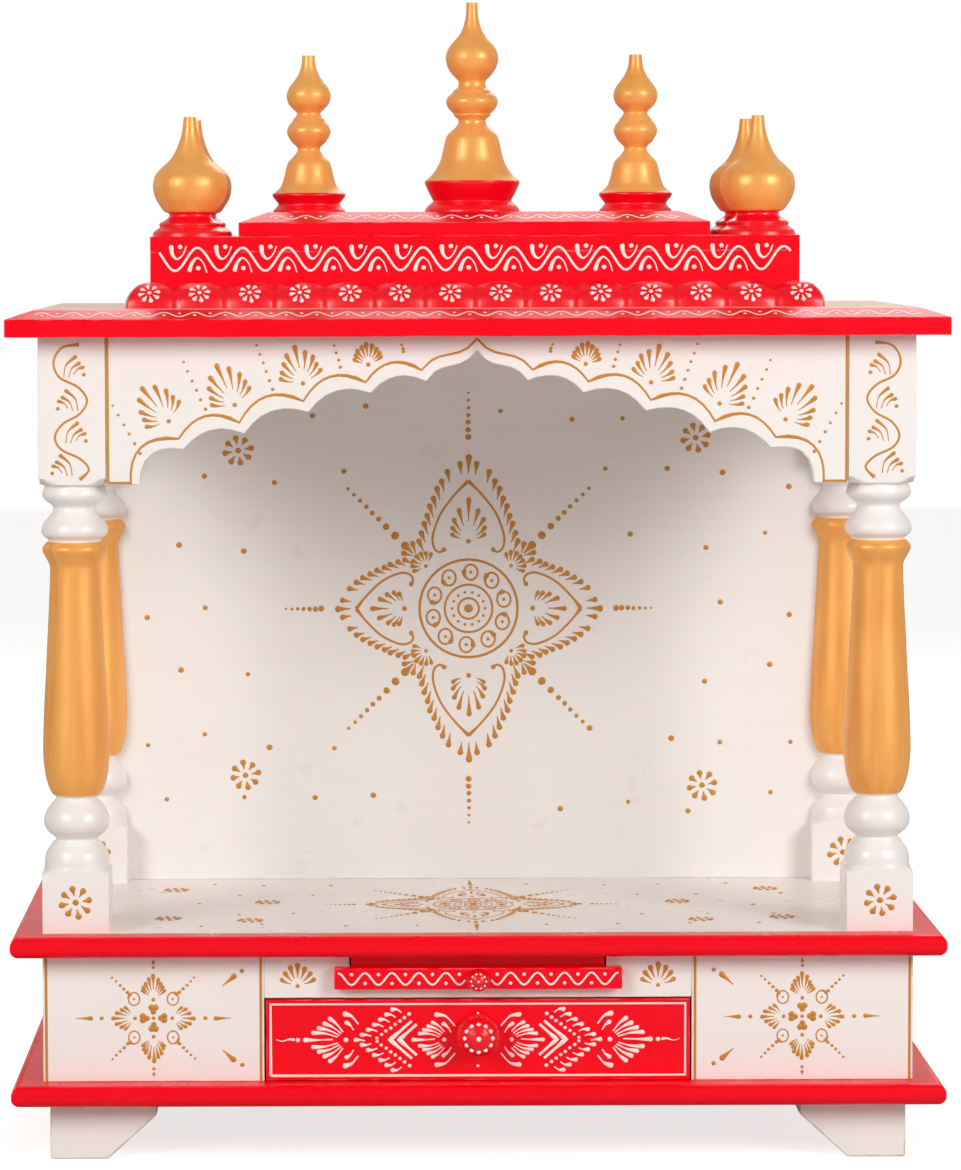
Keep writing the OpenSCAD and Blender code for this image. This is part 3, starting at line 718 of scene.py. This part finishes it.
# ---------------------------------------------------------------- back panel
# A thin white panel held in grooves of the back pillars, with the large gold mandala,
# four daisies and a field of small dots. Its ornament shows inside the shrine.

settle("back_panel_painted", eased("back_panel", 0.4 * MM), [WHITES["x"]], "frame",
       ["back_panel"])
low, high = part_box("back_panel")
panel_paint = mandala() + scattered(232, 180, 46, 160, 1.9)
for u, v in ((-158, -118), (165, -126), (-162, 112), (160, 120)):
    panel_paint += daisy(u, v, 11)
paint("back_panel_gold_mandala", panel_paint, ((low.x + high.x) / 2, low.y, low.z + 0.192), (1, 0, 0),
      (0, 0, 1), GOLD_LINE, "frame")

# ---------------------------------------------------------------- arches
# Scalloped boards sawn to shape and nailed between the pillars' top blocks. A gold outline
# follows the scallops; a spray stands over each one, with dotted rays between them.

for node, way in (("arch_front", "x"), ("arch_side_left", "y"), ("arch_side_right", "y")):
    settle(node + "_painted", eased(node, 0.7 * MM, corner=16), [WHITES[way]], "frame", [node])

FRONT_CUSPS = [(1, 0), (0.87, 0.26), (0.69, 0.38), (0.5, 0.54), (0.315, 0.68), (0.15, 0.77)]
SIDE_CUSPS = [(1, 0), (0.8, 0.36), (0.54, 0.58), (0.26, 0.77)]


def arch_paint(half_span, rise, tall, cusps, post):
    """Outline, sprays and dotted rays of one arch; u from its middle, v from its feet."""
    edge = [(c[0] * half_span, c[1] * rise) for c in cusps]
    lifted = [(edge[0][0] + 6, 0)] + [(u + 3.2, v + 7.2) for u, v in edge[1:]]
    stroke = []
    for i, (a, b) in enumerate(zip(lifted, lifted[1:])):
        for k in range(8):
            t = k / 8
            lift = (0.3 if i == 0 else 0.24) * 4 * t * (1 - t)
            stroke.append((a[0] + (b[0] - a[0]) * t + abs(b[1] - a[1]) * lift,
                           a[1] + (b[1] - a[1]) * t + abs(b[0] - a[0]) * lift, 0.75 + 0.75 * t ** 3))
    u, v = lifted[-1]
    top = min(rise + 7.5, tall - 1)
    stroke += [(u * (1 - t), v + (top - v) * (0.3 * t + 0.7 * (0.5 + 4 * (t - 0.5) ** 3)), 0.75)
               for t in (0, 0.17, 0.33, 0.5, 0.67, 0.83, 1)]
    strokes = [stroke]
    for i, (a, b) in enumerate(zip(lifted, lifted[1:])):
        outward = (b[0] / half_span) ** 2
        lean = math.pi / 2 - 0.85 * outward
        u, v = b[0] + 12 * outward - 3, b[1] + 11.5
        reach = min(33, (tall - v - 3) / math.sin(lean))
        if reach > 14:
            strokes += spray(u, v, lean, 9, 1.2, reach, min(17, 0.72 * reach), 1.75, 0.36, 1.5)
        along = 0.36 + 0.08 * i if i else 0.2
        u, v = a[0] + (b[0] - a[0]) * along, a[1] + (b[1] - a[1]) * along + 14.5
        high = min(tall - 6, v + 31)
        strokes += dotted((u, v), (u + (high - v) * (0.25 + 0.4 * outward), high), 3 + int((high - v) / 8), 1.2, 0.9)
    first = lifted[0]
    strokes += line([(post - 1.2, 1.2), (post - 1.2, tall)], 0.95)
    strokes += line([(post - 1.2, 1.2), (first[0], 1.2)], 0.75)
    return mirrored(strokes)


low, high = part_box("arch_front")
half_bay, arch_tall = (high.x - low.x) / 2 / MM, (high.z - low.z) / MM
FOOT, CROWN, SIDE_CROWN = 22, 9.5, 26
front_arch = arch_paint(half_bay - FOOT, arch_tall - CROWN, arch_tall, FRONT_CUSPS, half_bay)
paint("arch_front_gold_line", front_arch, ((low.x + high.x) / 2, low.y, low.z), (1, 0, 0), (0, 0, 1),
      GOLD_LINE, "frame")
for node, side in (("arch_side_left", -1), ("arch_side_right", 1)):
    low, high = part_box(node)
    half_bay = (high.y - low.y) / 2 / MM
    strokes = arch_paint(half_bay - FOOT, arch_tall - SIDE_CROWN, arch_tall, SIDE_CUSPS, half_bay)
    paint(node + "_gold_line", strokes, (low.x if side < 0 else high.x, (low.y + high.y) / 2, low.z),
          (0, side, 0), (0, 0, 1), GOLD_LINE, "frame")

# ---------------------------------------------------------------- roof board
# A thick board with a wide bevel at the front and the sides. Its edges and bevel are red,
# its flat top is cream, and a shallow white wave with dots runs along the bevel.

CREAM = lacquer("cream_lacquer", (0.88, 0.60, 0.45), (0.82, 0.52, 0.36), (0.7, 0.5, 0.35), ALONG_X, gloss=0.4)
BEVEL_W, BEVEL_H = 18.0, 6.0
low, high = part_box("roof_board")
roof = eased("roof_board", 0.5 * MM, corner=10)
for point, way in (((pillar_low.x, 0, 0), (-1, 0, 0)), ((-pillar_low.x, 0, 0), (1, 0, 0)),
                   ((0, pillar_low.y, 0), (0, -1, 0))):
    bmesh.ops.bisect_plane(roof, geom=roof.verts[:] + roof.edges[:] + roof.faces[:],
                           plane_co=point, plane_no=way)
for face in roof.faces:
    middle = face.calc_center_median()
    over = face.normal.z > 0.99 and middle.z > high.z - 0.3 * MM
    under = face.normal.z < -0.99 and abs(middle.x) < -pillar_low.x and middle.y > pillar_low.y
    face.material_index = 1 if over else 2 if under else 0
settle("roof_board_painted", roof, [REDS["x"], CREAM, WHITES["x"]], "frame", ["roof_board"])


def wave(span, period, rise, r, dots=True, thick=1.1):
    """A wave along u with a dot in each bend, as long as the span allows."""
    bends = round(span / period)
    step = span / bends
    points = [(-span / 2 + step * k / 12, rise * math.sin(2 * math.pi * k / 12)) for k in range(12 * bends + 1)]
    strokes = line(points, r)
    if dots:
        for k in range(bends):
            u = -span / 2 + step * k
            strokes += dot(u + step * 0.25, -rise * 0.35, thick) + dot(u + step * 0.75, rise * 0.5, thick)
    return strokes


def bevel_waves(name, low, high, bevel_w, bevel_h, period, rise, sides):
    """Waves on the bevels of a board, each lying in the plane of its bevel."""
    slope = math.hypot(bevel_w, bevel_h)
    out, drop_h = bevel_w / 2 * MM, bevel_h / 2 * MM
    x, y = (low.x + high.x) / 2, (low.y + high.y) / 2
    width, depth = (high.x - low.x) / MM, (high.y - low.y) / MM
    planes = {"front": ((x, low.y + out, high.z - drop_h), (1, 0, 0), (0, bevel_w, bevel_h), width),
              "back": ((x, high.y - out, high.z - drop_h), (-1, 0, 0), (0, -bevel_w, bevel_h), width),
              "left": ((low.x + out, y, high.z - drop_h), (0, -1, 0), (bevel_w, 0, bevel_h), depth),
              "right": ((high.x - out, y, high.z - drop_h), (0, 1, 0), (-bevel_w, 0, bevel_h), depth)}
    for side in sides:
        origin, right, up, span = planes[side]
        paint(name + "_wave_" + side, wave(span - 2 * slope, period, rise, 0.65), origin, right, up,
              WHITE_LINE, "frame", rise=0.35)


bevel_waves("roof", low, high, BEVEL_W, BEVEL_H, 20.0, 4.0, ("front", "left", "right"))

# ---------------------------------------------------------------- petal moulding
# Four mitred lengths of moulding around the box's foot, carved into a row of rounded petals.
# The carving leaves a scalloped top to each petal and a groove between it and the next.

PETALS = {"petals_front_row": ("x", -1, 14), "petals_back_row": ("x", 1, 14),
          "petals_left_row": ("y", -1, 6), "petals_right_row": ("y", 1, 6)}
box_low, box_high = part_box("tier_front")[0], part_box("tier_back")[1]
# Its third colour is a painted highlight: the pale pink laid on the petals' tops, standing for light caught on the
# scalloped rims.
CARVED_RED = lacquer("red_enamel_carved", (0.90, 0.002, 0.016), (0.76, 0.0, 0.01), (0.95, 0.24, 0.26),
                     (60, 60, 60), gloss=0.3, coat=0.2, marks=0.6, shine=0.5)

for node, (way, side, count) in PETALS.items():
    low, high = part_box(node)
    across = (high.x - low.x) if way == "x" else (high.y - low.y)
    out = (high.y - low.y) if way == "x" else (high.x - low.x)
    tall_row = high.z - low.z
    pitch = across / count
    shape = bmesh.new()
    edge = shape.faces.layers.float.new("edge")
    columns, rings = 14, 10
    bmesh.ops.create_grid(shape, x_segments=columns * count, y_segments=rings, size=0.5)

    def carved(s, t, lift=0.0):
        """A place on the moulding: s from end to end, t from foot (0) to top (1), in (u, height, reach)."""
        hump = abs(math.sin(math.pi * s * count)) ** 0.7
        crown = 1 - 0.24 * (1 - hump)
        belly = 1 - 0.16 * (1 - hump) * max(0.0, math.cos(t * math.pi / 2)) ** 0.5
        reach = (out * belly + lift) * math.cos(t * math.pi / 2)
        mitre = across / 2 - out + reach
        u = max(-mitre, min(mitre, (s - 0.5) * across))
        return u, (tall_row * crown + lift) * math.sin(t * math.pi / 2), reach

    for vert in shape.verts:
        u, height, reach = carved(vert.co.x + 0.5, vert.co.y + 0.5)
        vert.co = (u, -reach, height)
    bmesh.ops.remove_doubles(shape, verts=shape.verts, dist=1e-5)
    # Painted highlight: 'edge' rises from 0 at about four fifths of each petal's height to 1 near its crown, so the
    # petal tops take the patchy pale pink.
    for face in shape.faces:
        face[edge] = max(0.0, min(1.0, (max(v.co.z for v in face.verts) / tall_row - 0.78) * 6))
    turn = {("x", -1): 0, ("x", 1): math.pi, ("y", -1): -math.pi / 2, ("y", 1): math.pi / 2}[(way, side)]
    back = (box_high.y if side > 0 else box_low.y) if way == "x" else (box_high.x if side > 0 else box_low.x)
    middle = Vector((0, back, low.z)) if way == "x" else Vector((back, 0, low.z))
    place = Matrix.Translation(middle) @ Matrix.Rotation(turn, 4, "Z")
    bmesh.ops.transform(shape, verts=shape.verts, matrix=place)
    bmesh.ops.recalc_face_normals(shape, faces=shape.faces)
    row = settle(node + "_carved", shape, [CARVED_RED], "frame", [node], smooth_to=50)
    girth = math.pi / 4 * (out + tall_row)

    def around(u, v, height):
        """Bends a flat daisy round the moulding's face."""
        return Vector(carved(0.5 + u / across, 0.42 + v / girth, height))

    blooms = []
    for k in range(count):
        blooms += daisy(((k + 0.5) * pitch - across / 2) / MM, 0, 7.4)
    paint(node + "_white_daisies", blooms, place @ Vector((0, 0, 0)), place.to_3x3() @ Vector((1, 0, 0)),
          (0, 0, 1), WHITE_LINE, "frame", wrap=around)

# ---------------------------------------------------------------- box above the roof
# A shallow box of boards. A white wave runs around its four sides, with a hooked stroke and
# a dot in each bend.

for node, way in (("tier_front", "x"), ("tier_back", "x"), ("tier_left", "y"), ("tier_right", "y"),
                  ("tier_top", "x")):
    settle(node + "_painted", eased(node, 0.5 * MM), [REDS[way]], "frame", [node])


def box_wave(span, period=30.3):
    """The wave of the box's side, with a hook above each trough and one below each crest."""
    bends = round(span / period)
    step = span / bends
    strokes = line([(-span / 2 + step * k / 16, 7.6 * math.sin(2 * math.pi * (k / 16 + 0.4)))
                    for k in range(16 * bends + 1)], 0.75)
    for k in range(bends):
        trough, crest = -span / 2 + step * (k + 0.35), -span / 2 + step * (k + 0.85)
        strokes += hook([(trough - 2.5, 8.0), (trough - 1.6, 3.0), (trough + 1.5, 0.2), (trough + 5.2, 3.2),
                         (trough + 7.5, 8.6)], 1.5)
        strokes += dot(trough + 3.4, 8.2, 1.5)
        if crest < span / 2 - 7:
            strokes += hook([(crest - 5.2, -7.0), (crest - 3.4, -2.0), (crest, 0.9), (crest + 3.8, -2.4),
                             (crest + 6, -8.6)], 1.4)
            strokes += dot(crest + 0.4, -5.8, 1.5)
    return strokes


box_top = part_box("tier_top")[1].z
wave_z = (high.z + box_top) / 2
for name, origin, right, span in (("front", (0, box_low.y, wave_z), (1, 0, 0), box_high.x - box_low.x),
                                  ("back", (0, box_high.y, wave_z), (-1, 0, 0), box_high.x - box_low.x),
                                  ("left", (box_low.x, 0, wave_z), (0, -1, 0), box_high.y - box_low.y),
                                  ("right", (box_high.x, 0, wave_z), (0, 1, 0), box_high.y - box_low.y)):
    paint("tier_white_wave_" + name, box_wave(span / MM - 12), origin, right, (0, 0, 1), WHITE_LINE,
          "frame")

# ---------------------------------------------------------------- upper slab
# A bevelled red slab that carries the three finials, with a small white wave on its bevel.

SLAB_BEVEL_W, SLAB_BEVEL_H = 19.0, 7.0
low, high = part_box("upper_slab")
settle("upper_slab_painted", eased("upper_slab", 0.5 * MM, corner=10), [REDS["x"]], "frame",
       ["upper_slab"])
bevel_waves("slab", low, high, SLAB_BEVEL_W, SLAB_BEVEL_H, 19.5, 3.4, ("front", "back", "left", "right"))

# ---------------------------------------------------------------- finials and domes
# Turned on a lathe, doweled into the slab and the box. Each has a red moulded base and
# a gold lacquered body that ends in a tapering tip.

MIDDLE = [(0, 32), (1.6, 31.7), (4, 29.8), (6.2, 27.2), (7.3, 26.4), (9, 27.1), (14, 29.7), (18.8, 31.8),
          (20.4, 32), (21.3, 31), (24.5, 27.4), (28.6, 24.3), (34.4, 21.4), (40.2, 19.9), (45.9, 18.6), (50.5, 17.2),
          (53, 15.2), (56.3, 11.6), (58.7, 9.6), (61.5, 9.2), (63.3, 10.8), (64.6, 12.4), (65.6, 12.5), (66.6, 13.2),
          (69.1, 15.6), (73.4, 17.4), (77.1, 16.2), (79.8, 13.2), (80.8, 12.7), (81.8, 11.6), (83.2, 9.8), (85.4, 9.1),
          (87.7, 9.2), (89.3, 10.6), (92.2, 13.4), (96.8, 16.3), (102.8, 17.7), (108.4, 16.4), (113, 13.3),
          (117.6, 9.2), (122.2, 6.5), (127.5, 4.9), (132, 4.1), (140, 3.8)]
SIDE = [(0, 24.5), (1.3, 24), (3.6, 21.8), (5.6, 20.8), (7.6, 22.2), (10.6, 24.4), (12.3, 24.5), (13.4, 22.8),
        (17.3, 18.9), (23.7, 16.7), (30.1, 15.2), (34, 13.7), (37.6, 10.2), (40.8, 7.9), (43, 7.6), (45.2, 9.4),
        (46.6, 11), (48.3, 12.3), (53.6, 14.7), (57.9, 13.5), (60.8, 11.2), (62.4, 10.4), (64.7, 8.5), (66.8, 8.1),
        (69.6, 10.9), (72.8, 13.5), (78.2, 14.9), (83.5, 13.1), (87.8, 9.9), (92, 7.1), (96.5, 5.3), (100.6, 4.5),
        (105, 4.2)]
DOME = [(0, 25.2), (3, 24.4), (4.8, 22), (6.3, 20.3), (7.8, 20.7), (9.2, 19.8), (10.8, 16.8), (13, 14.3),
        (15.3, 14.3), (16.5, 17.2), (19.6, 19.6), (24.8, 22.8), (30.5, 24.5), (35.6, 24.6), (40.8, 23),
        (45.6, 18.8), (49.8, 14.1), (53.9, 11), (58.5, 8.7), (64.5, 6.4), (71, 4.9), (79, 4)]
FINIALS = {"finial_middle": (MIDDLE, 21), "finial_left": (SIDE, 13), "finial_right": (SIDE, 13),
           "dome_front_left": (DOME, 16), "dome_front_right": (DOME, 16),
           "dome_back_left": (DOME, 16), "dome_back_right": (DOME, 16)}


for node, (stations, red_to) in FINIALS.items():
    low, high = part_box(node)
    widest = (high.x - low.x) / 2 / MM
    outline = [(z, min(r, widest)) for z, r in smooth(stations, 4)]
    shape = turning(outline, 1, rings=64)
    for face in shape.faces:
        face.material_index = 0 if face.calc_center_median().z / MM < red_to else 1
    bmesh.ops.translate(shape, verts=shape.verts, vec=((low.x + high.x) / 2, (low.y + high.y) / 2, low.z))
    settle(node + "_turned", shape, [REDS["z"], GOLD], "frame", [node], smooth_to=50)

# ---------------------------------------------------------------- studio
# A pale floor and world that show white behind the temple, two large soft lamps from the front
# left and right, and a weak fill. The camera stands a little left of the middle, above the roof.


bpy.ops.mesh.primitive_plane_add(size=14, location=(0, 0, -0.0005))
ground = bpy.context.active_object
ground.name = "studio_floor"
paper = bpy.data.materials.new("studio_floor_paper")
paper.use_nodes = True
tree = paper.node_tree
matt = tree.nodes["Principled BSDF"]
matt.inputs["Base Color"].default_value = (0.6, 0.6, 0.6, 1)
matt.inputs["Roughness"].default_value = 0.9
matt.inputs["Emission Color"].default_value = (1, 1, 1, 1)
seen = tree.nodes.new("ShaderNodeLightPath")
glow = tree.nodes.new("ShaderNodeMath")
glow.operation = "MULTIPLY"
glow.inputs[1].default_value = 0.75
tree.links.new(seen.outputs["Is Camera Ray"], glow.inputs[0])
tree.links.new(glow.outputs[0], matt.inputs["Emission Strength"])
ground.data.materials.append(paper)

world = bpy.data.worlds.new("studio")
bpy.context.scene.world = world
world.use_nodes = True
sky = world.node_tree
rays = sky.nodes.new("ShaderNodeLightPath")
facing = sky.nodes.new("ShaderNodeSeparateXYZ")
sky.links.new(sky.nodes.new("ShaderNodeTexCoord").outputs["Generated"], facing.inputs[0])
behind = sky.nodes.new("ShaderNodeMapRange")
for socket, value in (("From Min", -0.2), ("From Max", 0.5), ("To Min", -0.12), ("To Max", 0.35)):
    behind.inputs[socket].default_value = value
sky.links.new(facing.outputs["Y"], behind.inputs["Value"])
fill = sky.nodes.new("ShaderNodeMath")
fill.operation = "MULTIPLY_ADD"
fill.inputs[2].default_value = 0.28
sky.links.new(rays.outputs["Is Glossy Ray"], fill.inputs[0])
sky.links.new(behind.outputs["Result"], fill.inputs[1])
room, backdrop = sky.nodes["Background"], sky.nodes.new("ShaderNodeBackground")
room.inputs["Color"].default_value = (1, 0.90, 0.82, 1)
sky.links.new(fill.outputs[0], room.inputs["Strength"])
backdrop.inputs["Color"].default_value = (1, 1, 1, 1)
chosen = sky.nodes.new("ShaderNodeMixShader")
sky.links.new(rays.outputs["Is Camera Ray"], chosen.inputs[0])
sky.links.new(room.outputs[0], chosen.inputs[1])
sky.links.new(backdrop.outputs[0], chosen.inputs[2])
sky.links.new(chosen.outputs[0], sky.nodes["World Output"].inputs["Surface"])


def soft_lamp(name, place, aim, size, power, tint=(1, 1, 1)):
    data = bpy.data.lights.new(name, "AREA")
    data.shape = "RECTANGLE"
    data.size, data.size_y = size
    data.energy = power
    data.color = tint
    lamp = bpy.data.objects.new(name, data)
    lamp.location = place
    lamp.rotation_euler = (Vector(aim) - Vector(place)).to_track_quat("-Z", "Y").to_euler()
    bpy.context.scene.collection.objects.link(lamp)


soft_lamp("key_left", (-1.85, -2.12, 1.45), (0, 0, 0.4), (1.1, 1.2), 38, (1.0, 0.99, 0.97))
soft_lamp("key_right", (1.85, -2.12, 1.4), (0, 0, 0.35), (1.1, 1.2), 45, (1.0, 0.99, 0.97))
soft_lamp("back_light", (0.3, 2.6, 2.2), (0, 0, 0.4), (1.6, 1.2), 24)

camera_data = bpy.data.cameras.new("camera")
camera = bpy.data.objects.new("camera", camera_data)
bpy.context.scene.collection.objects.link(camera)
camera_data.sensor_fit = "VERTICAL"
camera_data.sensor_height = 36
camera_data.lens = 143.3
camera_data.shift_x = 0.1006
camera.location = (-0.0738, -3.151, 0.608)
camera.rotation_euler = (math.radians(90 - 4.35), math.radians(0.18), 0)
bpy.context.scene.camera = camera
bpy.context.scene.view_settings.view_transform = "Standard"
